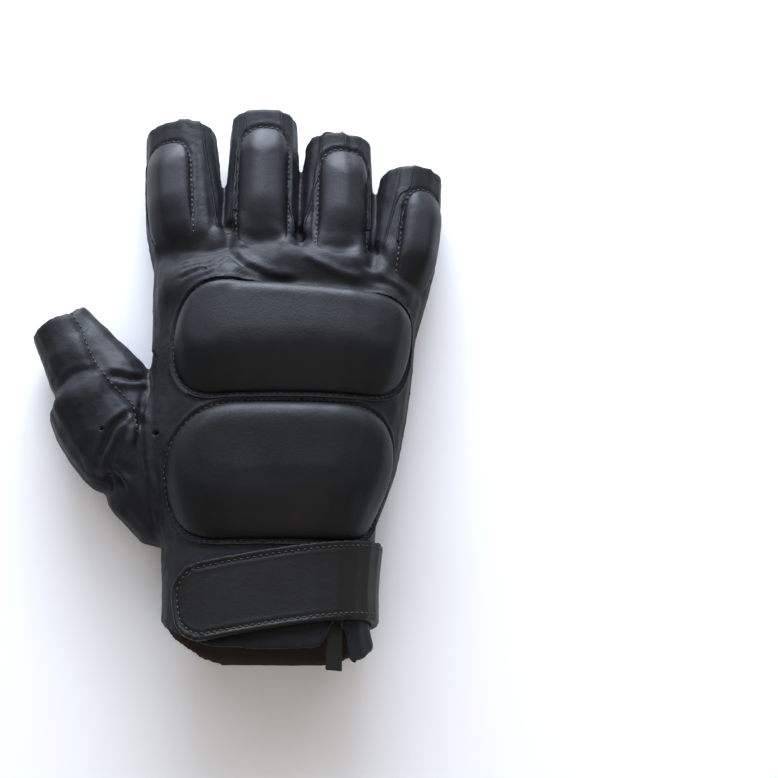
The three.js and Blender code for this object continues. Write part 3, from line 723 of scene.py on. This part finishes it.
def hide_material(name, tints, grain, roughness, crease):
    """Dyed leather, by its two tints, the size of its grain, its roughness and its creases' depth."""
    made, shader = new_material(name)
    place = (add(made, "ShaderNodeTexCoord"), "Object")
    cells = add(made, "ShaderNodeTexVoronoi", {"Vector": place, "Scale": 1 / (grain * MM)},
                feature="SMOOTH_F1")
    pores = add(made, "ShaderNodeTexNoise", {
        "Vector": place, "Scale": 1 / (grain * PORE_SHARE * MM), "Detail": 3.0})
    creases = add(made, "ShaderNodeTexNoise", {
        "Vector": place, "Scale": 1 / (CREASE_SIZE * MM), "Detail": 5.0, "Roughness": 0.6,
        "Distortion": 0.6})
    patches = add(made, "ShaderNodeTexNoise", {
        "Vector": place, "Scale": 1 / (PATCH_SIZE * MM), "Detail": 3.0})
    tint = add(made, "ShaderNodeMix", {
        "Factor": (patches, "Fac"), MIX_TINTS[0]: linear(tints[0]), MIX_TINTS[1]: linear(tints[1])},
        data_type="RGBA")
    gloss = add(made, "ShaderNodeMapRange", {
        "Value": (patches, "Fac"), "From Min": PATCH_RANGE[0], "From Max": PATCH_RANGE[1],
        "To Min": roughness + PATCH_GLOSS[0], "To Max": roughness + PATCH_GLOSS[1]})
    creased = add(made, "ShaderNodeBump", {
        "Height": (creases, "Fac"), "Distance": crease * MM, "Strength": 0.8})
    grained = add(made, "ShaderNodeBump", {
        "Height": (cells, "Distance"), "Distance": GRAIN_DEPTH * MM, "Strength": 0.5,
        "Normal": (creased, "Normal")})
    pored = add(made, "ShaderNodeBump", {
        "Height": (pores, "Fac"), "Distance": PORE_DEPTH * MM, "Strength": 0.5,
        "Normal": (grained, "Normal")})
    plug(made, shader, "Base Color", (tint, MIX_RESULT))
    plug(made, shader, "Roughness", (gloss, "Result"))
    plug(made, shader, "Normal", (pored, "Normal"))
    plug(made, shader, "IOR", LEATHER_IOR)
    plug(made, shader, "Specular IOR Level", LEATHER_GLOSS)
    return made


# Full-grain cowhide, drum-dyed black and lightly finished: a soft, broken sheen along the folds.
grain_leather = hide_material(
    "full_grain_cowhide", ("#101113", "#16171a"), grain=0.9, roughness=0.54, crease=0.22)

# The flesh side, left as split: brownish where the dye is thin, and quite without gleam.
flesh_side = hide_material(
    "flesh_side_of_cowhide", ("#2a2421", "#3a302b"), grain=0.6, roughness=0.9, crease=0.2)


def shade(made, material):
    """Gives a piece its material and smooth shading."""
    made.data.materials.append(material)
    made.data.polygons.foreach_set("use_smooth", [True] * len(made.data.polygons))


def part_skin(mesh, owners, facing):
    """Parts the skin into its panels along the seams, each keeping the whole skin's normals."""
    normals = normals_of(mesh)
    points = points_of(mesh)
    faces = [tuple(p.vertices) for p in mesh.polygons]
    face_owner = np.array([np.bincount(owners[list(f)]).argmax() for f in faces])
    face_inner = np.array([facing[list(f)].mean() < 0 for f in faces])
    for number, panel in enumerate(PANELS):
        mine = np.flatnonzero(face_owner == number)
        used = sorted({v for f in mine for v in faces[f]})
        place = {v: i for i, v in enumerate(used)}
        made = object_from(panel + "_leather", points[used], [[place[v] for v in faces[f]] for f in mine])
        shade(made, grain_leather)
        made.data.materials.append(flesh_side)
        made.data.polygons.foreach_set("material_index", face_inner[mine].astype(int))
        made.data.normals_split_custom_set_from_vertices(normals[used])
        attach(made, "root")
        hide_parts(panel)


part_skin(skin.data, own_panel, dots(normals_of(skin.data), out))
skin_tree = tree_of(skin.data)

# Stitching: rows of black bonded thread, each stitch a short round cord that dives into the leather at
# both ends. Rows run round every pad, beside the thumb's seam and along the edges of strap and grips.
STITCH_PITCH = 2.1
STITCH_LENGTH = 1.55
STITCH_RADIUS = 0.27
STITCH_RISE = 0.5
STITCH_DIVE = 0.3
CORD_SIDES = 6

# Where the rings of a stitch's cord stand along it, how thin it is at its ends, and the least share of the
# pitch that a stitch is set in.
STITCH_SHARES = (0.0, 0.16, 0.5, 0.84, 1.0)
STITCH_END = 0.55
SHORTEST_STITCH = 0.5

# Bonded thread, three plies twisted and glazed with resin: small firm gleams on a thread a shade paler
# than the leather. The plies lie about 0.15 mm apart and are drawn twice as coarse to show.
PLY_SIZE = 0.3
PLY_DEPTH = 0.1
thread, thread_shader = new_material("bonded_thread")
plies = add(thread, "ShaderNodeTexNoise", {
    "Vector": (add(thread, "ShaderNodeTexCoord"), "Object"), "Scale": 1 / (PLY_SIZE * MM)})
twisted = add(thread, "ShaderNodeBump", {
    "Height": (plies, "Fac"), "Distance": PLY_DEPTH * MM, "Strength": 0.6})
plug(thread, thread_shader, "Base Color", linear("#1c1c1e"))
plug(thread, thread_shader, "Roughness", 0.5)
plug(thread, thread_shader, "Normal", (twisted, "Normal"))


def add_cord(points, faces, centres, normals, radii, closed):
    """Adds one round cord, which runs through its centres, to lists of points and faces."""
    first = len(points)
    runs = np.gradient(np.array(centres), axis=0)
    if closed:
        runs[0] = centres[1] - centres[-1]
        runs[-1] = centres[0] - centres[-2]
    for centre, normal, run, radius in zip(centres, normals, runs, radii):
        side = normal.cross(Vector(run)).normalized()
        for k in range(CORD_SIDES):
            angle = 2 * math.pi * k / CORD_SIDES
            points.append(centre + radius * MM * (math.cos(angle) * side + math.sin(angle) * normal))
    for ring in range(len(centres) - (not closed)):
        after = (ring + 1) % len(centres)
        for k in range(CORD_SIDES):
            on = (k + 1) % CORD_SIDES
            corners = [(ring, k), (after, k), (after, on), (ring, on)]
            faces.append([first + r * CORD_SIDES + c for r, c in corners])
    if not closed:
        last = first + (len(centres) - 1) * CORD_SIDES
        faces.append(range(first, first + CORD_SIDES))
        faces.append(range(last + CORD_SIDES - 1, last - 1, -1))


def stitch_rows(name, rows, tree):
    """One piece of thread for several rows of stitches, each laid on a surface along its line."""
    points, faces = [], []
    for row in rows:
        row = evened(row, STITCH_PITCH)
        for start, after in zip(row[:-1], row[1:]):
            run = Vector(after - start)
            place, normal = tree.find_nearest(Vector((start + after) / 2))[:2]
            if place is None or run.length < SHORTEST_STITCH * STITCH_PITCH * MM:
                continue
            run = (run - run.dot(normal) * normal).normalized()
            rises = [STITCH_RISE * math.sin(math.pi * share) - STITCH_DIVE for share in STITCH_SHARES]
            centres = [
                place + (run * (share - 0.5) * STITCH_LENGTH + normal * rise) * MM
                for share, rise in zip(STITCH_SHARES, rises)
            ]
            radii = [STITCH_RADIUS * (STITCH_END if share in (0, 1) else 1) for share in STITCH_SHARES]
            add_cord(points, faces, centres, [normal] * len(centres), radii, closed=False)
    made = object_from(name, points, faces)
    shade(made, thread)
    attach(made, "root")
    return made


# Padding: four long pads on the fingers, one across the knuckles and a bigger one on the back of the
# hand. Each is foam under a stretched, thinner leather, sewn down tight round its edge.

# Thickness is a pad's height, shoulder how far in from its edge it takes to rise, spine half the length of
# its middle line, and sloping how long a finger pad's slope down to the hand is.
PAD_SHAPES = {
    "index_pad": {"thickness": 4.6, "shoulder": 9, "spine": 11.5, "sloping": 24, "fill": 0.85, "voxel": 0.7},
    "middle_pad": {"thickness": 4.8, "shoulder": 9, "spine": 13, "sloping": 24, "fill": 0.85, "voxel": 0.7},
    "ring_pad": {"thickness": 4.8, "shoulder": 9, "spine": 11.5, "sloping": 24, "fill": 0.85, "voxel": 0.7},
    "little_pad": {"thickness": 4.4, "shoulder": 9, "spine": 8.5, "sloping": 20, "fill": 0.85, "voxel": 0.7},
    "knuckle_pad": {"thickness": 7.4, "shoulder": 7, "spine": 23, "sloping": 0, "fill": 0.75, "voxel": 0.9},
    "back_pad": {"thickness": 7.8, "shoulder": 8, "spine": 16, "sloping": 0, "fill": 0.7, "voxel": 0.9},
}
PAD_STEP = 1.0
PAD_INSET = 0.25
PAD_RINGS = 14
RING_CROWDING = 1.3
PAD_BASE = -0.45
PAD_UNDER = 0.9
PAD_ROUNDNESS = 2.3
CROWN = {"dome": 0.85, "slope": 0.15}
COVER_ROUNDS = 12
RAY_ABOVE = 40

# The two big pads slope more gently on the wrist's side, between these shares of their half length. Their
# middles lie on the smooth leather, and only this much of the edge follows its reliefs.
LOW_SIDE = {"from": 0.2, "to": -0.9, "shoulder": 17, "roundness": 1.45}
PAD_EVENING = 8

# A finger pad is lower at its tip too: it rises from this share of its height over this stretch.
TIP_SHARE = 0.5
TIP_STRETCH = (-2, 13)

# Cowhide stretched tight over foam: smoother and darker than the shell, with a clear gleam on its crown.
pad_leather = hide_material(
    "stretched_cowhide_over_foam", ("#0d0e10", "#121315"), grain=0.8, roughness=0.45, crease=0.08)


def pad_cover(name, row, shape):
    """A crowned closed form that rises from inside a stitch row to the pad's middle line."""
    row = evened(row, PAD_STEP)[:-1]
    middle = row.mean(0)
    long_way = np.linalg.svd(row - middle)[2][0]
    long_way *= np.sign(long_way[1]) if shape["sloping"] else 1
    normals = np.array([formed_tree.find_nearest(p)[1] for p in row])
    up = Vector(normals.mean(0)).normalized()
    along = (row - middle) @ long_way
    spine = middle + np.clip(along, -shape["spine"] * MM, shape["spine"] * MM)[:, None] * long_way
    reach = np.linalg.norm(spine - row, axis=1)
    beyond = (row - middle)[:, 1] / np.abs((row - middle)[:, 1]).max()
    low_side = step(beyond, LOW_SIDE["from"], LOW_SIDE["to"]) * (not shape["sloping"])
    shoulder = shape["shoulder"] + (LOW_SIDE["shoulder"] - shape["shoulder"]) * low_side
    roundness = PAD_ROUNDNESS + (LOW_SIDE["roundness"] - PAD_ROUNDNESS) * low_side
    top, base = [], []
    for share in np.linspace(0, 1, PAD_RINGS) ** RING_CROWDING:
        inset = PAD_INSET + share * (reach / MM - PAD_INSET)
        ring = row + (spine - row) * (inset * MM / reach)[:, None]
        rise = np.minimum((inset - PAD_INSET) / shoulder, 1)
        crown = CROWN["dome"] * (1 - (1 - rise) ** roundness) ** (1 / roundness) + CROWN["slope"] * share
        lift = PAD_BASE + shape["thickness"] * crown
        if shape["sloping"]:
            from_end = ((ring - middle) @ long_way - along.min()) / MM
            from_tip = (along.max() - (ring - middle) @ long_way) / MM
            tip = TIP_SHARE + (1 - TIP_SHARE) * step(from_tip, *TIP_STRETCH)
            slope = step(from_end, 0, shape["sloping"]) * tip
            lift = PAD_BASE + (lift - PAD_BASE) * slope
        for place, height, even in zip(ring, lift, step(inset, 0, PAD_EVENING)):
            above = Vector(place) + up * RAY_ABOVE * MM
            ground, normal = formed_tree.ray_cast(above, -up)[:2]
            plain, plain_normal = bare_tree.ray_cast(above, -up)[:2]
            if not shape["sloping"]:
                ground, normal = ground.lerp(plain, even), normal.lerp(plain_normal, even)
            normal = (normal + up).normalized()
            top.append(ground + normal * float(height) * MM)
            base.append(ground + normal * (PAD_BASE - PAD_UNDER) * MM)
    count = len(row)
    points = top + base[count:]
    faces = []
    for ring in range(PAD_RINGS - 1):
        for k in range(count):
            a, b = ring * count + k, ring * count + (k + 1) % count
            faces.append((a, b, b + count, a + count))
            under = len(top) - count
            low = [i if i < count else i + under for i in (a, b, b + count, a + count)]
            faces.append(tuple(reversed(low)))
    made = object_from(name, points, faces)
    remesh(made, shape["voxel"])
    relax(made.data, COVER_ROUNDS)
    return made


for pad in PADS:
    shape = PAD_SHAPES[pad]
    row = pad_rows[pad]
    made = pad_cover(pad + "_cover", row, shape)
    shade(made, pad_leather)
    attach(made, "root")
    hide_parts(pad)
    if shape["sloping"]:
        low_end = np.argmin(row[:-1, 1])
        row = np.roll(row[:-1], -low_end, axis=0)
        row = row[row[:, 1] > row[:, 1].min() + SEAM_FADE[1] * MM]
    stitch_rows(pad + "_stitches", [row], skin_tree)

# Welts: the folded edges of the shell's leather, which stand up as thin rolls just outside the pads'
# stitches and along the seams between the fingers' backs and their side walls.
WELT_STEP = 0.7
WELT_ROUNDS = 10
WELT_TAPER = 12
WELT_TIP = 0.15
PAD_WELT_EDGE = {"radius": 0.4, "rise": 0.12}
FINGER_WELT_EDGE = {"radius": 0.34, "rise": 0.05}
FINGER_WELT_POINTS = 60
FAR_OFF = 10


def welt_rows(name, rows, radius, rise):
    """Thin rounded edges of folded leather, each running along a line on the skin."""
    points, faces = [], []
    for row in rows:
        closed = np.allclose(row[0], row[-1])
        row = evened(row, WELT_STEP, WELT_ROUNDS)
        row = row[:-1] if closed else row
        hits = [skin_tree.find_nearest(Vector(place))[:2] for place in row]
        normals = [normal for _, normal in hits]
        share = np.linspace(0, 1, len(hits))
        ends = np.clip(np.minimum(share, 1 - share) * WELT_TAPER, WELT_TIP, 1).tolist()
        ends = [1.0] * len(hits) if closed else ends
        radii = [radius * end for end in ends]
        lifts = [(rise - (1 - end) * radius) * MM for end in ends]
        centres = [place + normal * lift for (place, normal), lift in zip(hits, lifts)]
        add_cord(points, faces, centres, normals, radii, closed)
    made = object_from(name, points, faces)
    shade(made, grain_leather)
    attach(made, "root")


pad_welts = []
for pad, distance in to_pad.items():
    to_row = line_distances(points_of(skin.data), pad_rows[pad], ROW_REACH)
    to_row += FAR_OFF * (distance < STITCH_ROW_OFF_PAD)
    row = lines_at(skin.data, to_row, PAD_WELT_OFF_ROW, (distance < PAD_REACH) & outer_side)[0]
    if pad in FINGER_PADS:
        row = row[row[:, 1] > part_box(pad)[0].y + SEAM_FADE[1] * MM]
        low_end = np.argmax(np.linalg.norm(np.diff(row, axis=0), axis=1)) + 1
        row = np.roll(row, -low_end, axis=0)
    pad_welts.append(row)
welt_rows("pad_welts", pad_welts, **PAD_WELT_EDGE)
finger_welts = []
for wall in SIDE_WALLS:
    rows = lines_at(skin.data, to_panel[PANELS.index(wall)], SEAM_ROLL_AT, on_back & outer_side)
    finger_welts += [row for row in rows if len(row) > FINGER_WELT_POINTS]
welt_rows("finger_welts", finger_welts, **FINGER_WELT_EDGE)

# Thumb seam: the two halves of the thumb are sewn edge to edge and topstitched in the same thread, in one
# row on the inner half, this far from the seam.
THUMB_ROW_OFF_SEAM = 2.0
THUMB_ROW_POINTS = 25
THUMB_ROWS = 2
to_outer_half = to_panel[PANELS.index("thumb_outer_panel")]
on_inner_half = own_panel == PANELS.index("thumb_inner_panel")
thumb_rows = lines_at(skin.data, to_outer_half, THUMB_ROW_OFF_SEAM, on_inner_half & outer_side)
thumb_rows = [row for row in thumb_rows if len(row) > THUMB_ROW_POINTS]
stitch_rows("thumb_seam_stitches", thumb_rows[:THUMB_ROWS], skin_tree)

# Wrist strap: two layers of leather, folded at the edges and stitched together, that wrap the cuff and
# close over the back of the wrist. In plan it is a tilted band whose left end is rounded.
STRAP_MIDDLE = (-5.3, 18.7)
STRAP_TILT = 9.5
STRAP_HALF = 13.0
STRAP_CORNER = 10.0
STRAP_CORNER_TURN = 15
STRAP_REACH = {"left": 29.5, "right": 46}
STRAP_VOXEL = 0.6
STRAP_ROUNDS = 24
STRAP_ROW_IN = 1.9
STRAP_ROLL_IN = 0.8
STRAP_GROOVE = {"depth": 0.35, "width": 0.7}
STRAP_ROLL = {"height": 0.45, "width": 0.8}

# Cowhide folded and pressed flat, a browner black than the shell: an even satin with little grain.
strap_leather = hide_material(
    "folded_cowhide_strap", ("#0f0d0b", "#151310"), grain=0.7, roughness=0.5, crease=0.12)


def strap_line(inset):
    """The strap's top edge, rounded end and bottom edge in plan, set in by some millimetres."""
    half, corner = STRAP_HALF - inset, STRAP_CORNER - inset
    plan = [(STRAP_REACH["right"], half)]
    for turn in range(90, 271, STRAP_CORNER_TURN):
        angle = math.radians(turn)
        middle = (STRAP_HALF - STRAP_CORNER) * np.sign(180 - turn)
        plan.append((STRAP_CORNER - STRAP_REACH["left"] + corner * math.cos(angle),
                     middle + corner * math.sin(angle)))
    plan.append((STRAP_REACH["right"], -half))
    tilt = math.radians(STRAP_TILT)
    return [
        (STRAP_MIDDLE[0] + x * math.cos(tilt) - y * math.sin(tilt),
         STRAP_MIDDLE[1] + x * math.sin(tilt) + y * math.cos(tilt)) for x, y in plan
    ]


strap = copy_of_nodes("wrist_strap_leather", ["wrist_strap"], 0)
remesh(strap, STRAP_VOXEL)
relax(strap.data, STRAP_ROUNDS)
strap_reliefs = [
    ("back", "crease", STRAP_GROOVE["depth"], STRAP_GROOVE["width"], strap_line(STRAP_ROW_IN)),
    ("back", "ridge", STRAP_ROLL["height"], STRAP_ROLL["width"], strap_line(STRAP_ROLL_IN)),
]
strap_lift = relief_heights(points_of(strap.data), tree_of(strap.data), strap_reliefs)
put_points(strap.data, points_of(strap.data) + normals_of(strap.data) * strap_lift[:, None] * MM)
strap_tree = tree_of(strap.data)
strap_row = laid_on(strap_tree, smooth_line(strap_line(STRAP_ROW_IN), RELIEF_SPACING), "back")
stitch_rows("strap_stitches", [np.array([place for place, _ in strap_row])], strap_tree)
shade(strap, strap_leather)
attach(strap, "root")
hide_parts("wrist_strap")

# Slit tape: a length of black binding tape, woven from cotton, that is sewn inside the slit of the cuff.
# Its cut end hangs out over the cuff's edge.
TAPE_VOXEL = 0.4
TAPE_ROUNDS = 4

# Woven cotton: quite matt, and greyer than leather. Its yarns lie about 0.3 mm apart. They are drawn as
# cells of 0.5 mm, like leather's, since the weave itself is too fine to show.
tape_weave = hide_material(
    "woven_binding_tape", ("#1d1c19", "#262521"), grain=0.5, roughness=0.8, crease=0.1)
tape = copy_of_nodes("slit_tape_weave", ["slit_tape"], 0)
remesh(tape, TAPE_VOXEL)
relax(tape.data, TAPE_ROUNDS)
shade(tape, tape_weave)
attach(tape, "root")
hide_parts("slit_tape")

# Grips: suede with a pebbled coating printed on it, laid over the palm and under the thumb and stitched
# down round its edge. The pebbles are the plain surface, and the suede between them is pitted in.
GRIP_VOXEL = 0.55
GRIP_ROUNDS = 6
GRIP_ROW_IN = 1.8
GRIP_ROW_POINTS = 40
RIM_FACING = 0.45
ROW_FACING = 0.3
PEBBLE_SIZE = 1.7
PEBBLE_EDGE = (0.25, 0.75)
PEBBLE_DEPTH = 0.28
PLAIN_RIM = (0.3, 1)
ROW_GROOVE = {"share": 0.5, "width": 0.6}
PALM_CREASES = [
    ("palm", "crease", 0.5, 1.2, [(-30, 120), (-18, 112), (-4, 108), (12, 109), (26, 114)]),
    ("palm", "crease", 0.5, 1.2, [(-26, 108), (-14, 96), (-6, 80), (-4, 62)]),
]

# Suede under a thin printed coat of polyurethane: the nap is dull and bluish, and the coat gives the tops
# of the pebbles small soft gleams.
grip_suede = hide_material(
    "pebble_coated_suede", ("#181c1e", "#212628"), grain=1.0, roughness=0.62, crease=0.3)
grip_shader = grip_suede.node_tree.nodes["Principled BSDF"]
plug(grip_suede, grip_shader, "Coat Weight", 0.12)
plug(grip_suede, grip_shader, "Coat Roughness", 0.25)


def rim_distances(points, facing):
    """How far each point of a grip is from its rim, where it faces neither out nor in."""
    rim = points[abs(facing) < RIM_FACING]
    tree = KDTree(len(rim))
    for number, place in enumerate(rim):
        tree.insert(place, number)
    tree.balance()
    return np.array([tree.find(place)[2] / MM for place in points])


for node, creases in (("palm_grip", PALM_CREASES), ("thumb_grip", [])):
    grip = copy_of_nodes(node + "_suede", [node], 0)
    remesh(grip, GRIP_VOXEL)
    relax(grip.data, GRIP_ROUNDS)
    grip_points = points_of(grip.data)
    facing = dots(normals_of(grip.data), away_from_hollows(grip_points))
    from_rim = rim_distances(grip_points, facing)
    rows = lines_at(grip.data, from_rim, GRIP_ROW_IN, facing > ROW_FACING)
    pebbles = [noise.voronoi(Vector(place) / (PEBBLE_SIZE * MM))[0][0] for place in grip_points]
    pits = PEBBLE_DEPTH * step(np.array(pebbles), *PEBBLE_EDGE) * step(from_rim, *PLAIN_RIM)
    pits += ROW_GROOVE["share"] * PEBBLE_DEPTH * bell(from_rim, GRIP_ROW_IN, ROW_GROOVE["width"])
    creased = relief_heights(grip_points, tree_of(grip.data), creases)
    sunk = np.minimum(creased - pits, 0) * (facing > 0)
    put_points(grip.data, grip_points + normals_of(grip.data) * sunk[:, None] * MM)
    shade(grip, grip_suede)
    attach(grip, "root")
    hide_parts(node)
    long_rows = [row for row in rows if len(row) > GRIP_ROW_POINTS]
    stitches = stitch_rows(node + "_stitches", long_rows, tree_of(grip.data))

    # The stitches that the glove lies on are pressed flat on the table
    pressed = points_of(stitches.data)
    pressed[:, 2] = np.maximum(pressed[:, 2], 0)
    put_points(stitches.data, pressed)

# The skin that the panels were parted from goes.
bpy.data.objects.remove(skin)
